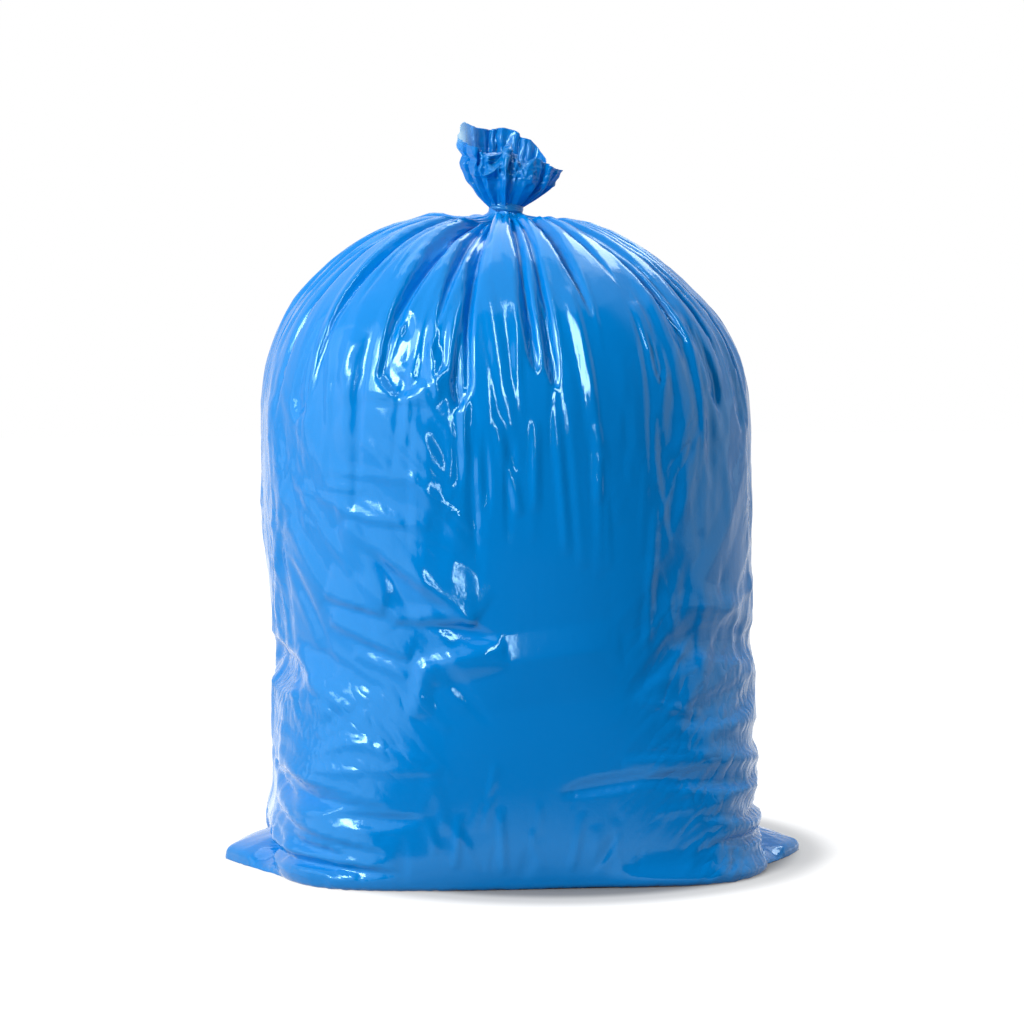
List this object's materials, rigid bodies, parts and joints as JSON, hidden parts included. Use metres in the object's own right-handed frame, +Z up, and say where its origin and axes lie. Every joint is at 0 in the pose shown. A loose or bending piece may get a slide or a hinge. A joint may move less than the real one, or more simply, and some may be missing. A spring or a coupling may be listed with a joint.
{
  "type": "garbage bag",
  "caption": "Full garbage bag of thin glossy blue film, gathered at the neck and tied shut with a wound band, standing on its flat base with the seal's corners spread on the floor.",
  "frame": {"origin": "centre of the base on the floor", "axes": "+Z up, +X along the bottom seal towards the right-hand corner, -Y towards the front that the picture shows"},
  "size_m": [0.56, 0.408, 0.7098],
  "materials": {
    "film": "glossy thin polyethylene film, lightly wrinkled",
    "tape": "satin film tape wound in narrow turns"
  },
  "bodies": {
    "root": {"bag": "film", "neck_tie": "tape"}
  },
  "joints": []
}
